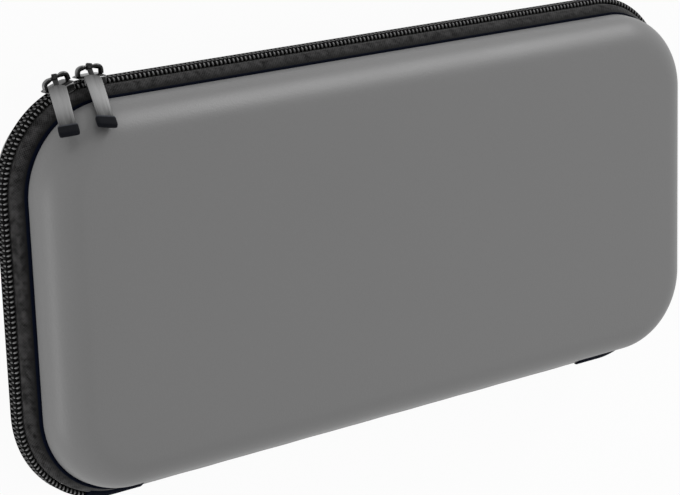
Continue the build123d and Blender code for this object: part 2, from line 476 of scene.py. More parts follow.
# %% [markdown]
# The pulls are strips of gunmetal, brushed lengthwise, with a painted highlight: lighter in the middle
# of their length and darker towards both ends. Noise stretched along the strap's own length gives the
# brush lines, and a curve of the same length gives the painted highlight; both change the lightness
# and the roughness. The tips are moulded rubber.

# %% Brushed strap and rubber
# Centre and half length of the painted highlight along the strap.
HIGHLIGHT_MIDDLE = 13.2 * MM
HIGHLIGHT_HALF = 10.4 * MM


def brushed_finish(name):
    """Lightness is a parabola round the middle of the length, a painted highlight, plus noise stretched
    along the strap.
    """
    finish = Finish(name)
    brush = finish.noise(finish.place((60.0, 2600.0, 1.0), "UV"), 1.0, 4.0, 0.65)
    # Painted highlight: the colour is lightest at the middle of the length and darker towards both ends.
    along, _, _ = finish.axes(finish.place((1 / HIGHLIGHT_HALF,) * 3, "UV"))
    away = along - HIGHLIGHT_MIDDLE / HIGHLIGHT_HALF
    painted_highlight = (1.0 - away * away).clip()
    shade = (painted_highlight ** 1.6 + 0.9 * (brush - 0.5)).clip()
    return finish.surface({
        "Base Color": finish.mix(shade, grey(0.05), grey(0.27)),
        "Metallic": 0.85,
        "Roughness": 0.5 - 0.12 * painted_highlight + 0.1 * brush,
        "Normal": finish.bump(brush, 0.00004, 0.5),
    })


def rubber_finish(name):
    """Near black, paler on the ring that the UV map marks, a painted highlight, with a little noise tone all
    over.
    """
    finish = Finish(name)
    skin = finish.noise(finish.place(), 1400.0, 3.0)
    edge, _, _ = finish.axes(finish.place(source="UV"))
    # Painted highlight: the marked ring makes the rubber paler there.
    painted_ring_highlight = (edge * (0.5 + skin) + 0.1 * skin).clip()
    return finish.surface({
        "Base Color": finish.mix(painted_ring_highlight, grey(0.003, (0.8, 0.9, 1.4)), grey(0.07, (0.9, 0.95, 1.1))),
        "Roughness": 0.45 + 0.2 * skin,
        "Normal": finish.bump(skin, 0.00003, 0.5),
        "Specular IOR Level": 0.04,
    })


gunmetal = brushed_finish("brushed_gunmetal")
rubber = rubber_finish("tip_rubber")
print("strap and tip finishes made")


# %% [markdown]
# ## Half shells
# Each shell is foam between the cover and the lining, pressed into a tub with a rolled edge. Its
# section runs from the lining's ceiling down the inner wall, round the rim and up the cover to the
# face. A box with a bevel modifier would round every edge alike; a section carried round the crest
# gives the wall its draft, the face its large radius and the rim its small roll.

# %% The shell's section carried round
DRAFT = np.radians(6.0)
FRONT_RADIUS = 11.5 * MM
BACK_RADIUS = 10.0 * MM
WALL = 4.5 * MM
LINING_CHAMFER = 3.0 * MM
RIM_ROLL = 0.5 * MM
FACE_CROWN = 0.3 * MM
CROWN_WIDTH = 15.0 * MM
SPINE_PRESS = 0.5 * MM
SHELL_STEPS = 480
CROWN_RINGS = 10
FLAT_RINGS = [0.45, 0.7, 0.93]


def arc(centre, radius, start, end, count):
    """Points on a circle from angle start to angle end, in (inset, rise)."""
    angle = np.linspace(start, end, count)
    return np.stack([centre[0] - radius * np.cos(angle), centre[1] + radius * np.sin(angle)], -1)


def shell_section(depth, radius):
    """(inset, rise) from the lining's ceiling to the face, and the count of points in the lining.

    The shoulder stops a little short of level, at the slope with which the crowned face begins.
    """
    ceiling = depth - WALL
    inner = RIM_INSET + WALL
    rim_low = RIM_RISE + 0.02 * MM
    lining_line = np.array([
        [inner + 9 * MM, ceiling],
        [inner + LINING_CHAMFER + 1.2 * MM, ceiling],
        [inner + LINING_CHAMFER - 0.3 * MM, ceiling - 0.25 * MM],
        [inner + 0.25 * MM, ceiling - LINING_CHAMFER + 0.3 * MM],
        [inner, ceiling - LINING_CHAMFER - 1.0 * MM],
        [inner, RIM_RISE + 1.2 * MM],
        [inner, rim_low + RIM_ROLL],
    ])
    inner_roll = arc((inner - RIM_ROLL, rim_low + RIM_ROLL), -RIM_ROLL, 0.3, np.pi / 2, 4)
    top = depth - radius - FACE_CROWN
    rounding = radius * (1 / np.cos(DRAFT) - np.sin(DRAFT) * np.tan(DRAFT))
    lean = (top - RIM_RISE) * np.tan(DRAFT) + rounding
    centre = (RIM_INSET + lean, top)
    outer_roll = arc((RIM_INSET + RIM_ROLL, rim_low + RIM_ROLL), RIM_ROLL, -np.pi / 2, DRAFT, 5)
    shoulder = arc(centre, radius, DRAFT, np.pi / 2 - 2 * FACE_CROWN / CROWN_WIDTH, 24)
    section = np.concatenate([lining_line, inner_roll, outer_roll, shoulder])
    return section, len(lining_line) + len(inner_roll)


def shrunk(way, inset, rise, share, hand=1):
    """Points set in from the crest and drawn towards the middle line by a share of the way."""
    points = carry(way, -np.asarray(inset), rise, hand)
    middle = np.clip(points[..., 0], HALF_HEIGHT - HALF_LENGTH, HALF_LENGTH - HALF_HEIGHT)
    points[..., 0] += share * (middle - points[..., 0])
    points[..., 1] *= 1 - share
    return points


def half_shell(name, hand, depth, radius, spine_press=0.0):
    """Closed shell: the section round the crest, then rings on the face that crown it slightly.

    The crown falls with the square of the distance from the flat part of the face. The spine press draws
    the spine side in, the more the nearer a point is to the fold.
    """
    way = np.linspace(-way_round(), way_round(), SHELL_STEPS, endpoint=False)
    section, inside = shell_section(depth, radius)
    crowned = CROWN_WIDTH / (HALF_HEIGHT - section[-1, 0])
    face = np.append(crowned * np.linspace(0, 1, CROWN_RINGS + 1)[1:], FLAT_RINGS)
    share = np.append(np.zeros(len(section)), face)
    inset = np.append(section[:, 0], np.full(len(face), section[-1, 0]))
    rise = np.append(section[:, 1], depth - FACE_CROWN * np.maximum(1 - face / crowned, 0) ** 2)
    measures = [np.append(way, way_round()), lengths(np.stack([inset, rise], -1))]
    finish_of_column = np.where(np.arange(len(inset)) < inside, 1, 0)
    points = shrunk(way, inset, rise, share, hand)
    points[..., 1] -= spine_press * np.minimum(points[..., 1], 0) / HALF_HEIGHT
    return make_piece(name, points, [cover, lining], True, measures, finish_of_column)


front_cover = half_shell("front_shell_cover", 1, FRONT_DEPTH, FRONT_RADIUS, SPINE_PRESS)
fit(front_cover, "lid", "shell", "front_shell")
back_cover = half_shell("back_shell_cover", -1, BACK_DEPTH, BACK_RADIUS)
fit(back_cover, "base", "shell", "back_shell")

# %% [markdown]
# ## Binding and zip tape
# A narrow dark binding hides the raw rim, and the zip tape is sewn under it. Both are strips with a
# constant section, so each is a closed profile carried along the part of the crest that has a zip.
# They stop at the spine, where their ends are folded under it.

# %% Strips along the zip
COIL_HEIGHT = 2.2 * MM
TAPE_HALF = 0.3 * MM
TAPE_GAP = 0.5 * MM
TAPE_BEND = 3.4 * MM
BINDING = 0.8 * MM
zip_way = np.linspace(-ZIP_END, ZIP_END, 460)


def strip(name, profile, hand, finish):
    """Closed profile of (out, rise) points carried along the zip; both of its faces are measured alike."""
    points = carry(zip_way, profile[:, 0], profile[:, 1], hand)
    around = lengths(profile)
    measures = [zip_way, np.minimum(around, around[-1] - around)]
    return make_piece(name, points, [finish], measures=measures, crease=50)


def binding_profile():
    """Flat strip under the rim with a round roll on its outer edge."""
    low, high = RIM_RISE - BINDING, RIM_RISE + 0.4 * MM
    angle = np.linspace(-0.75 * np.pi, 0.75 * np.pi, 13)
    roll = 0.85 * MM
    middle = (-0.2 * MM - RIM_INSET, RIM_RISE + 0.05 * MM)
    edge = np.stack([middle[0] + roll * np.cos(angle), middle[1] + roll * np.sin(angle)], -1)
    inside = -RIM_INSET - WALL + 0.1 * MM
    return np.concatenate([[[inside, low]], edge, [[inside, high]]])


def tape_profile():
    """Upright beside the coil, then sloping in to the binding: the middle line moved to both sides."""
    share = np.linspace(0, 1, 15)
    rise = TAPE_GAP + share * (RIM_RISE - BINDING - TAPE_GAP)
    lean = np.maximum(rise - TAPE_BEND, 0) / (RIM_RISE - BINDING - TAPE_BEND)
    soft = np.convolve(np.pad(lean, 1, mode="edge"), [0.25, 0.5, 0.25], "valid")
    out = -COIL_HEIGHT - TAPE_HALF - soft * (RIM_INSET - COIL_HEIGHT - TAPE_HALF)
    line = np.stack([out, rise], -1)
    step = np.gradient(line, axis=0)
    across = np.stack([step[:, 1], -step[:, 0]], -1) / np.linalg.norm(step, axis=1)[:, None]
    return np.concatenate([line + TAPE_HALF * across, (line - TAPE_HALF * across)[::-1]])


for side, hand, body in (("front", 1, "lid"), ("back", -1, "base")):
    fit(strip(f"{side}_binding_roll", binding_profile(), hand, binding_cloth), body, "binding",
        f"{side}_rim_binding")
    fit(strip(f"{side}_tape_weave", tape_profile(), hand, tape_cloth), body, "zip_tape", f"{side}_zip_tape")

# %% [markdown]
# Where the zip ends, beside the spine, a tab of binding cloth is sewn over the coil, so the last
# stretch of the zip shows only as a dark line. Its section is a soft wedge from the tape to the crest.

# %% Tabs over the zip's ends
TAB_LENGTH = 20.0 * MM
TAB_FULLNESS = 0.28 * MM
TAB_ROOT = 2.3 * MM
TAB_SWELL = 2.1 * MM
TAB_WEDGE = MM * np.array([[-2.3, 0.12], [-0.5, 0.12], [-0.25, 0.25], [-0.15, 0.6], [-0.18, 1.3],
                           [-0.4, 1.9], [-0.9, 2.6], [-2.0, 3.9], [-3.0, 4.6], [-2.6, 3.6]])


def zip_tabs(name, hand, right_fullness):
    """The wedge carried along the last stretch at both ends and joined as one piece.

    The right end may bulge. Only the lid's does, so that the two tabs still pass when the lid folds back.
    """
    way = np.linspace(ZIP_END - TAB_LENGTH, ZIP_END, 24)
    ends = []
    for end, run, fullness in (("left", -way, 0.0), ("right", way, right_fullness)):
        out = TAB_WEDGE[:, 0] + fullness * np.clip((TAB_WEDGE[:, 0] + TAB_ROOT) / TAB_SWELL, 0, 1)
        ends.append(make_piece(f"{name}_{end}", carry(run, out, TAB_WEDGE[:, 1], hand), [binding_cloth],
                               measures=[run, lengths(TAB_WEDGE)], crease=60))
    return join(name, ends)


fit(zip_tabs("front_tab_cloth", 1, TAB_FULLNESS), "lid", "binding", "front_zip_tabs")
fit(zip_tabs("back_tab_cloth", -1, 0.0), "base", "binding", "back_zip_tabs")

# %% [markdown]
# ## Zip coil
# Each side of the zip is one filament wound into a flattened spring, and the two springs interlock
# with half a pitch between them. An array of rings would show gaps in the winding; a tube round a
# helix is the real thing. The helix advances mostly on its hidden leg, so the legs that show lie
# straight across the zip.

# %% Wound filament
COIL_PITCH = 1.5 * MM
COIL_REACH = 2.6 * MM
COIL_OVERLAP = 0.8 * MM
CREST_GAP = 0.3 * MM
FILAMENT = 0.36 * MM
# Angle on each loop at which the painted glint is centred.
PAINTED_GLINT_AT = 0.78 * np.pi
CORD_DEEP = 0.8 * MM
CORD_WIDE = 0.75 * MM
CORD_RISE = 1.6 * MM
LOOP_POINTS = 14
LOOP_SQUARENESS = 0.7
LEG_SLANT = 0.1
FILAMENT_SIDES = 8
CORD_SIDES = 12
CORD_STEPS = 420


def coil(name, hand, phase):
    """Tube round a helix: a squared ellipse turns in the section while the way advances by a pitch.

    At turn t the middle of the tube is at (cos, sin) of 2 pi t, each with its power lowered so that
    the loop is squarer than an ellipse. The tube's ring lies across the helix's own direction. The UV
    map holds the painted glint: how near a loop is to where the glint is painted, and how far the
    tube's side faces out.
    """
    turns = int(2 * (ZIP_END - TAB_LENGTH) / COIL_PITCH) + 2
    turn = np.linspace(0, turns, turns * LOOP_POINTS + 1)
    angle = 2 * np.pi * turn
    across, along = squared(np.sin(angle), LOOP_SQUARENESS), squared(np.cos(angle), LOOP_SQUARENESS)
    half_reach = (COIL_REACH + COIL_OVERLAP) / 2
    way = (turn + phase - turns / 2 + LEG_SLANT * np.cos(angle)) * COIL_PITCH
    out = ((COIL_HEIGHT - CREST_GAP) / 2 - FILAMENT) * across - (COIL_HEIGHT + CREST_GAP) / 2
    rise = half_reach - COIL_OVERLAP - (half_reach - FILAMENT) * along
    point, outward = outline(way)
    line = np.concatenate([point + out[:, None] * outward, (PARTING + hand * rise)[:, None]], -1)
    step = np.gradient(line, axis=0)
    step /= np.linalg.norm(step, axis=1)[:, None]
    ahead = np.stack([outward[:, 1], -outward[:, 0], np.zeros(len(way))], -1)
    side = ahead - np.sum(ahead * step, 1)[:, None] * step
    side /= np.linalg.norm(side, axis=1)[:, None]
    up = np.cross(step, side)
    ring = np.linspace(0, 2 * np.pi, FILAMENT_SIDES + 1)
    tube = side[:, None] * np.cos(ring[:-1])[:, None] + up[:, None] * np.sin(ring[:-1])[:, None]
    crest = LOOP_POINTS // 4 + 1
    facing = np.sign(np.sum(up[crest, :2] * outward[crest]))
    # Painted glint: paler colour on each loop's corner near the given angle, on the side of the tube that
    # faces out.
    painted_glint = [np.clip(np.cos(angle - PAINTED_GLINT_AT), 0, 1), np.clip(facing * np.sin(ring), 0, 1)]
    return make_piece(name, line[:, None] + FILAMENT * tube, [filament, cord], measures=painted_glint, crease=80)


def filler_cord(name, hand):
    """The soft cord inside the winding: an ellipse carried along the same stretch of the crest."""
    way = np.linspace(-(ZIP_END - TAB_LENGTH), ZIP_END - TAB_LENGTH, CORD_STEPS)
    ring = np.linspace(0, 2 * np.pi, CORD_SIDES, endpoint=False)
    out = -COIL_HEIGHT / 2 + CORD_DEEP * np.cos(ring)
    rise = CORD_RISE + CORD_WIDE * np.sin(ring)
    return make_piece(name, carry(way, out, rise, hand), [filament, cord], crease=80,
                      finish_of_column=np.ones(CORD_SIDES))


for side, hand, body, phase in (("front", 1, "lid", 0.0), ("back", -1, "base", 0.5)):
    winding = [coil(f"{side}_coil_winding", hand, phase), filler_cord(f"{side}_filler", hand)]
    fit(join(f"{side}_coil_winding", winding), body, "zip_coil", f"{side}_zip_coil")


# %% [markdown]
# ## Spine
# Along the fold the zip stops and a strip of cover cloth joins the two shells. It is a sheet folded
# once, so its section is a soft V with a constant thickness.

# %% Folded spine strip
SPINE_THICKNESS = 1.2 * MM
FOLD_INSET = 0.25 * MM
FOLD_RADIUS = 1.4 * MM
SLANT_STRETCH = 1.15
RIPPLE = 0.05 * MM
RIPPLE_WAVES = (310, 83)


def spine_section():
    """Closed section in (y, z): a V rounded at its fold, moved in by the strip's thickness."""
    height = np.linspace(-RIM_RISE, RIM_RISE, 41)
    bend = np.sqrt(height ** 2 + FOLD_RADIUS ** 2) - FOLD_RADIUS
    bend *= RIM_RISE / bend.max()
    y = FOLD_INSET - HALF_HEIGHT + (RIM_INSET - FOLD_INSET) * bend / RIM_RISE
    outside = np.stack([y, PARTING + height], -1)
    return np.concatenate([outside, (outside + [SPINE_THICKNESS * SLANT_STRETCH, 0])[::-1]])


def spine_strip():
    """The section carried straight along the fold, with a faint ripple: the product of two sine waves."""
    x = np.linspace(-SPINE_HALF, SPINE_HALF, 90)
    section = spine_section()
    points = np.empty((len(x), len(section), 3))
    points[..., 0] = x[:, None]
    points[..., 1:] = section
    ripple = RIPPLE * np.sin(x * RIPPLE_WAVES[0]) * np.sin(x * RIPPLE_WAVES[1] + 1)
    points[..., 1] += ripple[:, None]
    return make_piece("spine_strip", points, [spine_cover], measures=[x, lengths(section)], crease=60)


spine = spine_strip()
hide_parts("spine_hinge")
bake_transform(spine)


# %% [markdown]
# ## Sliders
# A slider is a small casting: an outer wing with bevelled edges and a lip over the zip, a wing behind
# the tapes, and a crown that bridges the outer wing. Each wing is a stack of rings whose plan is a
# squared ellipse, because castings have no sharp corners. The rings follow the wing's bevel.

# %% The slider's own directions
def slider_axes(way):
    """Place on the crest, and the directions along the zip, out of the case and up."""
    point, outward = outline(np.array([way]))
    along = np.array([outward[0, 1], -outward[0, 0], 0])
    return np.append(point[0], PARTING), np.stack([along, np.append(outward[0], 0), [0, 0, 1]])


def settle(points, axes):
    """Points given in millimetres along, out and up, moved to the slider's place."""
    origin, directions = axes
    return origin + MM * points @ directions


def plate(half_x, half_z, rings, power=5.0, count=64):
    """Stack of squared ellipses across the out direction; rings are (inset, out) from below to above."""
    angle = np.linspace(0, 2 * np.pi, count, endpoint=False)
    unit = (np.abs(np.cos(angle)) ** power + np.abs(np.sin(angle)) ** power) ** (-1 / power)
    inset, out = np.asarray(rings, float).T[:, :, None]
    return np.stack(np.broadcast_arrays(
        (half_x - inset) * unit * np.cos(angle), out, (half_z - inset) * unit * np.sin(angle)), -1)


def tube(line, radius_a, radius_b, binormal, count=16):
    """Elliptic tube round a line in millimetres: radius_a across the line, radius_b along binormal."""
    step = np.gradient(line, axis=0)
    step /= np.linalg.norm(step, axis=1)[:, None]
    across = np.cross(np.broadcast_to(binormal, step.shape), step)
    ring = np.linspace(0, 2 * np.pi, count, endpoint=False)
    wide, deep = np.broadcast_arrays(radius_a, np.asarray(radius_b, float))
    return (line[:, None] + wide[:, None, None] * across[:, None] * np.cos(ring)[:, None]
            + deep[:, None, None] * np.asarray(binormal) * np.sin(ring)[:, None])


right_at = np.array(joints["right_pull_swing"]["pos_m"])
left_at = np.array(joints["left_pull_swing"]["pos_m"])
left_centre = np.array(joints["left_slider_run"]["pos_m"])
left_turn = np.arctan2(left_centre[0] - left_at[0], left_at[1] - left_centre[1])
RIGHT_WAY = right_at[0]
LEFT_WAY = -(HALF_LENGTH - CORNER) - CORNER * left_turn
BAR_OUT = (right_at[1] - HALF_HEIGHT) / MM
print(f"sliders at {RIGHT_WAY:.4f} and {LEFT_WAY:.4f}, bar {BAR_OUT:.2f} mm out")

# %% Wings, lip and crown
OUTER_WING = [(1.2, 0.35), (0.25, 0.35), (0.05, 0.38), (0.0, 0.46), (0.12, 0.56), (0.6, 0.82), (1.1, 1.06),
              (1.5, 1.14), (2.4, 1.15)]
LIP = [(0.5, 2.83), (0.12, 2.84), (0.0, 2.94), (0.0, 3.28), (0.12, 3.38), (0.5, 3.4)]
BACK_WING = [(1.2, -4.25), (0.2, -4.25), (0.0, -4.1), (0.0, -3.6), (0.2, -3.45), (1.2, -3.45)]
WING_HALF = 4.5
OUTER_WING_SIDE = 3.4
BACK_WING_SIDE = 3.2
LIP_HALF = 3.6
LIP_SIDE = 1.2
LIP_OUT = 0.55
WEAR_WIDTH = 0.3
CROWN_HALF = 3.9
CROWN_BAR = 0.55
CROWN_FOOT = 0.95
CROWN_POINTS = 41
CROWN_SQUARENESS = 0.45
CROWN_SLENDER = 1.2
CROWN_SWELL = (0.2, 0.35)


def edge_wear(rings):
    """1 on the rings nearest the casting's outer edge, fading with the inset."""
    return np.clip(1 - np.asarray(rings, float)[:, 0] / WEAR_WIDTH, 0, 1)


def lip_plate():
    """The lip stands on the wing's front edge, so its stack is turned to lie along up."""
    stack = plate(LIP_HALF, LIP_SIDE, LIP, 6.0, 40)
    return np.stack([stack[..., 0], stack[..., 2] - LIP_OUT, stack[..., 1]], -1)


def crown_line():
    """Arch over the wing: a half squared ellipse from one foot to the other."""
    angle = np.linspace(np.pi, 0, CROWN_POINTS)
    x = CROWN_HALF * squared(np.cos(angle), CROWN_SQUARENESS)
    y = CROWN_FOOT + (BAR_OUT - CROWN_FOOT) * np.abs(np.sin(angle)) ** CROWN_SQUARENESS
    return np.stack([x, y, np.zeros(CROWN_POINTS)], -1)


def slider(side, way):
    """Body and crown of one slider, in black lacquer. The crown's arch swells towards its feet."""
    axes = slider_axes(way)
    stacks = [plate(WING_HALF, OUTER_WING_SIDE, OUTER_WING), lip_plate(),
              plate(WING_HALF, BACK_WING_SIDE, BACK_WING)]
    parts = [make_piece(f"{side}_cast_{i}", settle(stack, axes), [lacquer], crease=35,
                        measures=[edge_wear(rings), np.zeros(stack.shape[1] + 1)])
             for i, (stack, rings) in enumerate(zip(stacks, (OUTER_WING, LIP, BACK_WING)))]
    body = join(f"{side}_slider_casting", parts)
    line = crown_line()
    far = np.clip((np.abs(line[:, 0]) - CROWN_SLENDER) / CROWN_SLENDER, 0, 1)
    heavy = far ** 2 * (3 - 2 * far)
    arch = tube(line, CROWN_BAR + CROWN_SWELL[0] * heavy, CROWN_BAR + CROWN_SWELL[1] * heavy, (0, 0, 1.0))
    # Painted highlight along the top of the crown's arch: this side of the tube is marked to show bare
    # metal.
    painted_top_highlight = np.clip(1.6 * np.cos(np.linspace(0, 2 * np.pi, 17)) - 0.6, 0, 1)
    crown = make_piece(f"{side}_crown_bridge", settle(arch, axes), [lacquer], crease=60,
                       measures=[np.zeros(len(line)), painted_top_highlight])
    fit(body, f"{side}_slider", "slider", f"{side}_slider_body")
    fit(crown, f"{side}_slider", "slider", f"{side}_slider_crown")


slider("left", LEFT_WAY)
slider("right", RIGHT_WAY)

# %% [markdown]
# ## Pulls
# Each pull is a strip of brushed metal with a narrow eye round the crown and a rubber tip. It hangs
# over the edge of the case and rests just above the front shell, leaning a little to one side on the
# loose bar. The strip is a flat rounded section carried down a line that bows slightly; its width
# grows from the eye to the shoulders.

# %% Strap, eye and tip
EYE_MIDDLE = 0.9
EYE_HALF = 0.2
STRAP_HALF = 0.375
STRAP_TOP = 1.4
STRAP_SHOULDER = 4.5
STRAP_LENGTH = 26.6
STRAP_BOW = 0.5
NECK_HALF = 0.8
STRAP_SIDE = 2.6
STRAP_END_SIDE = 2.3
SHOULDER_ROUND = 1.3
STRAP_COLUMNS = 40
EYE_STEPS = 48
EYE_COLUMNS = 20
# Strength of the painted glints on the outside of the pull's eye.
EYE_GLINT_PAINT = 0.3
TIP_HALF = 2.9
TIP_THICK = 0.8
TIP_BACK = 1.75
TIP_REACH = 2.25
TIP_ROUND = 0.35
TIP_RINGS = 25
TIP_COLUMNS = 48
# Where along the tip, and how wide, the painted highlight ring lies.
HIGHLIGHT_RING_AT = -0.7
HIGHLIGHT_RING_HALF = 0.25
DROP = {"left": 21.0, "right": 30.2}
LEAN = {"left": 27.6, "right": 18.3}


def hang(points, side):
    """Points of a pull, hung along up from a bar along x, dropped and leaned on the slider's bar."""
    drop, lean = np.radians(DROP[side]), np.radians(LEAN[side])
    lean_turn = np.array([[np.cos(lean), 0, -np.sin(lean)], [0, 1, 0], [np.sin(lean), 0, np.cos(lean)]])
    drop_turn = np.array([[1, 0, 0], [0, np.cos(drop), -np.sin(drop)], [0, np.sin(drop), np.cos(drop)]])
    return points @ (drop_turn @ lean_turn).T + [0, BAR_OUT, 0]


def bowed_strip(height, half):
    """Rounded strip: at each height a squared ellipse with the strip's width and thickness there.

    Its middle line bows outwards as a parabola between the bar and the strap's end.
    """
    middle, reach = (STRAP_TOP + STRAP_LENGTH) / 2, (STRAP_LENGTH - STRAP_TOP) / 2
    bow = STRAP_BOW * (1 - ((height - middle) / reach) ** 2)
    angle = np.linspace(0, 2 * np.pi, STRAP_COLUMNS, endpoint=False)
    x = half[:, None] * squared(np.cos(angle), 0.35)
    crown = 1 - 0.35 * (x / half[:, None]) ** 4
    y = bow[:, None] + STRAP_HALF * squared(np.sin(angle), 0.5) * crown
    points = np.stack(np.broadcast_arrays(x, y, height[:, None]), -1)
    return points, [MM * height, MM * STRAP_SIDE * np.append(np.cos(angle), 1.0)]


def strap_band():
    """Strip from the shoulders to the tip; it tapers, and its shoulders are rounded by a circle."""
    height = np.concatenate([STRAP_SHOULDER + SHOULDER_ROUND * np.linspace(0, 1, 7) ** 2,
                             np.linspace(STRAP_SHOULDER + SHOULDER_ROUND + 0.5, STRAP_LENGTH, 40)])
    share = (height - STRAP_SHOULDER) / (STRAP_LENGTH - STRAP_SHOULDER)
    corner = np.clip(STRAP_SHOULDER + SHOULDER_ROUND - height, 0, SHOULDER_ROUND)
    half = STRAP_SIDE + (STRAP_END_SIDE - STRAP_SIDE) * share
    half += np.sqrt(SHOULDER_ROUND ** 2 - corner ** 2) - SHOULDER_ROUND
    return bowed_strip(height, half)


def strap_neck():
    """Narrow strip from the eye to just inside the shoulders."""
    height = np.linspace(STRAP_TOP, STRAP_SHOULDER + 0.4, 12)
    return bowed_strip(height, np.full(12, NECK_HALF))


def strap_eye():
    """Ring of the same strip round the bar."""
    angle = np.linspace(0, 2 * np.pi, EYE_STEPS, endpoint=False)
    ring = np.linspace(0, 2 * np.pi, EYE_COLUMNS, endpoint=False)
    radius = EYE_MIDDLE + EYE_HALF * squared(np.cos(ring), 0.5)
    x = NECK_HALF * squared(np.sin(ring), 0.5)
    return np.stack(np.broadcast_arrays(
        x, radius * np.sin(angle)[:, None], radius * np.cos(angle)[:, None]), -1)


def tip_block():
    """Soft block over the end of the strap: rings along the strap whose corners are rounded."""
    angle = np.linspace(0, 2 * np.pi, TIP_COLUMNS, endpoint=False)
    share = np.linspace(-1, 1, TIP_RINGS)
    squeeze = ((1 - np.abs(share) ** 7 * 0.9) ** 0.5)[:, None]
    side = squared(np.cos(angle), 0.3) * (0.82 + 0.18 * squeeze)
    x = (TIP_HALF - TIP_ROUND * (1 - squeeze)) * side
    y = TIP_THICK * squeeze * squared(np.sin(angle), 0.4)
    height = STRAP_LENGTH - TIP_BACK + TIP_REACH * share
    return np.stack(np.broadcast_arrays(x, y, height[:, None]), -1)


def pull(side, way):
    """Strap with its eye, and tip, of one pull."""
    axes = slider_axes(way)
    metals = [gunmetal, lacquer]

    def hung(name, points, finishes, **how):
        return make_piece(f"{side}_{name}", settle(hang(points, side), axes), finishes, **how)

    points, measures = strap_band()
    band = hung("band", points, metals, measures=measures)
    points, measures = strap_neck()
    neck = hung("neck", points, metals, measures=measures, finish_of_column=np.ones(STRAP_COLUMNS))
    # Painted glints: the outside of the eye's ring is marked so that specks of bare metal show there.
    rim = EYE_GLINT_PAINT * np.clip(np.cos(np.linspace(0, 2 * np.pi, EYE_COLUMNS + 1)), 0, 1)
    eye = hung("eye", np.concatenate([strap_eye(), strap_eye()[:1]]), metals,
               measures=[np.zeros(EYE_STEPS + 1), rim], finish_of_column=np.ones(EYE_COLUMNS))
    # A painted highlight ring near the end of the tip that faces the strap.
    painted_ring_highlight = np.clip(1 - np.abs(np.linspace(-1, 1, TIP_RINGS) - HIGHLIGHT_RING_AT) / HIGHLIGHT_RING_HALF, 0, 1)
    tip = hung("rubber_tip", tip_block(), [rubber], crease=60, measures=[painted_ring_highlight, np.zeros(TIP_COLUMNS + 1)])
    fit(join(f"{side}_brushed_strap", [band, neck, eye]), f"{side}_pull", "pull_strap", f"{side}_pull_strap")
    fit(tip, f"{side}_pull", "pull_tip", f"{side}_pull_tip")


pull("left", LEFT_WAY)
pull("right", RIGHT_WAY)

# %% [markdown]
# ## Inside
# The console lies on a moulded pad with two hollows for its grips. The pad is one smooth height over
# the floor of the back shell: flat, with two sunk rounded squares and a rolled edge. It is drawn on
# rings that shrink towards the middle, so its outline is the shell's own.

# %% Console pad
PAD_THICKNESS = 3.6 * MM
PAD_CLEARANCE = 0.3 * MM
GRIP_HALF = (18.0 * MM, 37.0 * MM)
GRIP_AT = 88.0 * MM
GRIP_DEPTH = 2.4 * MM
PAD_ROLL = 1.0 * MM
PAD_STEPS = 400
PAD_RINGS = 60


def grip_hollow(x, y):
    """1 inside the two grip hollows, 0 outside, with a soft edge about 3 mm wide."""
    far = ((np.abs(np.abs(x) - GRIP_AT) / GRIP_HALF[0]) ** 5 + (np.abs(y) / GRIP_HALF[1]) ** 5) ** 0.2
    edge = np.clip((1.0 - far) / 0.14, 0, 1)
    return edge ** 2 * (3 - 2 * edge)


def console_pad():
    """Closed pad: underside, chamfer, side, rolled edge, then rings of the hollowed top."""
    way = np.linspace(-way_round(), way_round(), PAD_STEPS, endpoint=False)
    floor = BACK_DEPTH - WALL - 0.05 * MM
    top = floor - PAD_THICKNESS
    edge = RIM_INSET + WALL + PAD_CLEARANCE
    roll = arc((edge + PAD_ROLL, top + PAD_ROLL), PAD_ROLL, 0, -np.pi / 2, 7)
    side = np.array([
        [edge + 8 * MM, floor],
        [edge + LINING_CHAMFER, floor],
        [edge + 0.3 * MM, top + PAD_ROLL],
    ])
    section = np.concatenate([side, roll])
    share = np.append(np.zeros(len(section)), np.linspace(0.02, 0.97, PAD_RINGS))
    inset = np.append(section[:, 0], np.full(PAD_RINGS, section[-1, 0]))
    rise = np.append(section[:, 1], np.full(PAD_RINGS, top))
    points = shrunk(way, inset, rise, share, -1)
    face = points[:, len(section):]
    face[..., 2] -= GRIP_DEPTH * grip_hollow(face[..., 0], face[..., 1])
    return make_piece("console_pad", points, [lining], True)


pad = fit(console_pad(), "base", "lining", "console_tray")

# %% [markdown]
# In the lid a thin padded panel carries two rows of card pockets. The panel is a stack of rounded
# rectangles. Each row is one strip of cloth, sewn down between the pockets, so its height dips at the
# seams and swells between them, and a hem is rolled along the open edge.

# %% Card panel and pockets
panel_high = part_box("card_panel")[1]
PANEL_CORNER = 6 * MM
PANEL_RINGS = MM * np.array([[2.0, 0.0], [0.1, 0.0], [0.0, -0.5], [0.15, -1.1], [0.6, -1.55], [1.5, -1.75],
                             [5.0, -1.8]])
POCKETS = 5
POCKET_CLOTH = 0.45 * MM
POCKET_SWELL = 0.45 * MM
SEWN_WIDTH = 3 * MM
HEM_SWELL = 0.25 * MM
HEM_INSET = 1.5 * MM
HEM_WIDTH = 0.8 * MM


def card_panel():
    """Stack of rounded rectangles with a soft edge towards the inside of the case."""
    half_x, half_y = panel_high.x, panel_high.y
    half_way = way_round(half_x, half_y, PANEL_CORNER)
    way = np.linspace(-half_way, half_way, 240, endpoint=False)
    point, outward = outline(way, half_x, half_y, PANEL_CORNER)
    flat = point[:, None] - PANEL_RINGS[:, :1] * outward[:, None]
    height = np.broadcast_to(panel_high.z + PANEL_RINGS[:, 1], flat.shape[:2])
    return make_piece("card_panel_pad", np.concatenate([flat, height[..., None]], -1), [lining], True)


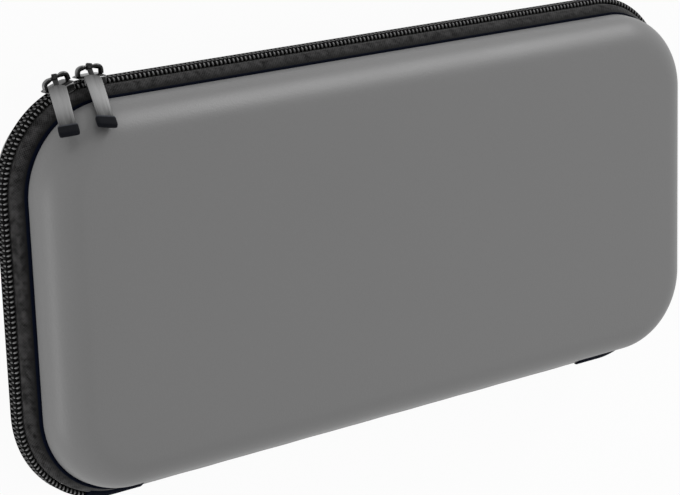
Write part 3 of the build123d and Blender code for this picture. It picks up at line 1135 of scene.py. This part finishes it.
def pocket_row(name, node):
    """Strip with a closed section in (y, z), carried along x; its face dips at each seam."""
    low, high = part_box(node)
    x = np.linspace(low.x, high.x, 161)
    seams = np.abs(np.sin(np.pi * POCKETS * (x - low.x) / (high.x - low.x))) ** 0.35
    y = np.linspace(low.y, high.y, 25)
    hem = np.exp(-((y - high.y + HEM_INSET) / HEM_WIDTH) ** 2)
    sewn = np.clip((y - low.y) / SEWN_WIDTH, 0, 1) ** 0.5
    depth = POCKET_CLOTH + POCKET_SWELL * seams[:, None] * sewn + HEM_SWELL * hem
    points = np.empty((len(x), 2 * len(y), 3))
    points[..., 0] = x[:, None]
    points[..., 1] = np.append(y, y[::-1])
    points[:, :len(y), 2] = high.z - 0.02 * MM
    points[:, len(y):, 2] = high.z - depth[:, ::-1]
    around = lengths(np.stack([np.append(y, y[::-1]), np.append(0 * y, 0 * y - MM)], -1))
    return make_piece(name, points, [pocket_cloth], measures=[x, around], crease=60)


panel = fit(card_panel(), "lid", "lining", "card_panel")
for row in ("upper", "lower"):
    node = f"{row}_card_pockets"
    pockets = fit(pocket_row(f"{row}_pocket_strip", node), "lid", "pocket", node)

# %% [markdown]
# ## Floor, light and camera
# The case lies on its back on a white floor. The floor shows itself to the camera almost white, but
# keeps a part of its shading, so the case still has a shadow. An upright strip of light beyond the zip
# side is mirrored by the rounded edge as a pale band. On the left, a weak low strip gives a fainter
# band, and a second one that gloss doesn't see washes the wall evenly. A large weak light evens the
# face, and the world fills the rest.

# %% Floor and world
def background_rays(finish):
    """1 for rays that see the background: from the camera, from gloss and through glass."""
    path = finish.node("ShaderNodeLightPath", None, None, "Is Camera Ray")
    return (path + path.output("Is Glossy Ray") + path.output("Is Transmission Ray")).clip()


FLOOR_HALF = 3.0
FLOOR_LEVEL = -0.2 * MM
floor_finish = Finish("white_floor")
paper = floor_finish.node("ShaderNodeBsdfDiffuse", None, {"Color": grey(0.72)})
glow = floor_finish.node("ShaderNodeEmission", None, {"Color": grey(1.0), "Strength": 1.0})
seen = background_rays(floor_finish) * 0.95
floor_mix = floor_finish.node("ShaderNodeMixShader", None, {0: seen, 1: paper, 2: glow})
floor_finish.node("ShaderNodeOutputMaterial", None, {"Surface": floor_mix})
corners = np.array([[-1, -1], [1, -1], [1, 1], [-1, 1]]) * FLOOR_HALF
floor_mesh = bpy.data.meshes.new("floor")
floor_mesh.from_pydata([(x, y, FLOOR_LEVEL) for x, y in corners], [], [(0, 1, 2, 3)])
floor_mesh.materials.append(floor_finish.material)
floor = bpy.data.objects.new("floor", floor_mesh)
bpy.context.scene.collection.objects.link(floor)

AMBIENT = 0.62
world = bpy.context.scene.world or bpy.data.worlds.new("studio")
bpy.context.scene.world = world
sky = Finish("studio", world)
strength = AMBIENT + (1.0 - AMBIENT) * background_rays(sky)
white = sky.node("ShaderNodeBackground", None, {"Color": grey(1.0), "Strength": strength})
sky.node("ShaderNodeOutputWorld", None, {"Surface": white})
print("floor and world made")


# %% Lights
def soft_light(name, at, towards, width, height, power):
    """Rectangular area light at a point, turned towards another, with its height upright."""
    lamp = bpy.data.lights.new(name, "AREA")
    lamp.shape = "RECTANGLE"
    lamp.size = width
    lamp.size_y = height
    lamp.energy = power
    light = bpy.data.objects.new(name, lamp)
    aim = np.subtract(towards, at)
    back = -aim / np.linalg.norm(aim)
    right = np.cross([0.05, 0.0, 1.0], back)
    right /= np.linalg.norm(right)
    turn = np.stack([right, np.cross(back, right), back], 1)
    light.matrix_world = Matrix.Translation(at) @ Matrix(turn.tolist()).to_4x4()
    bpy.context.scene.collection.objects.link(light)
    return light


CASE_MIDDLE = (0, 0, 0.03)
soft_light("zip_edge_strip", (0.88, 1.18, 0.5), (0, 0.05, 0.03), 0.3, 1.0, 9.2)
soft_light("left_low_fill", (-1.25, -0.25, 0.08), CASE_MIDDLE, 0.9, 0.16, 2.3)
left_wash = soft_light("left_wash", (-1.25, -0.25, 0.1), CASE_MIDDLE, 0.9, 0.18, 4.2)
left_wash.visible_glossy = False
soft_light("face_key", (0.9, -0.3, 1.25), CASE_MIDDLE, 1.2, 1.2, 1.9)
print("lights made")

# %% Camera
CAMERA_AT = (-453.04 * MM, 185.03 * MM, PARTING + 581.96 * MM)
CAMERA_AXES = np.array([[0.79, -0.0328, 0.6122], [0.1779, 0.9679, -0.1778], [-0.5867, 0.2494, 0.7705]])
FOCAL_PIXELS = 2409.4
IMAGE_WIDTH = 680
camera_data = bpy.data.cameras.new("camera")
camera_data.sensor_fit = "HORIZONTAL"
camera_data.sensor_width = 36.0
camera_data.lens = FOCAL_PIXELS / IMAGE_WIDTH * camera_data.sensor_width
camera = bpy.data.objects.new("camera", camera_data)
camera.matrix_world = Matrix.Translation(CAMERA_AT) @ Matrix(CAMERA_AXES.T.tolist()).to_4x4()
bpy.context.scene.collection.objects.link(camera)
bpy.context.scene.camera = camera
bpy.context.scene.view_settings.view_transform = "Standard"
print(f"lens {camera_data.lens:.1f} mm")

bpy.context.view_layer.update()
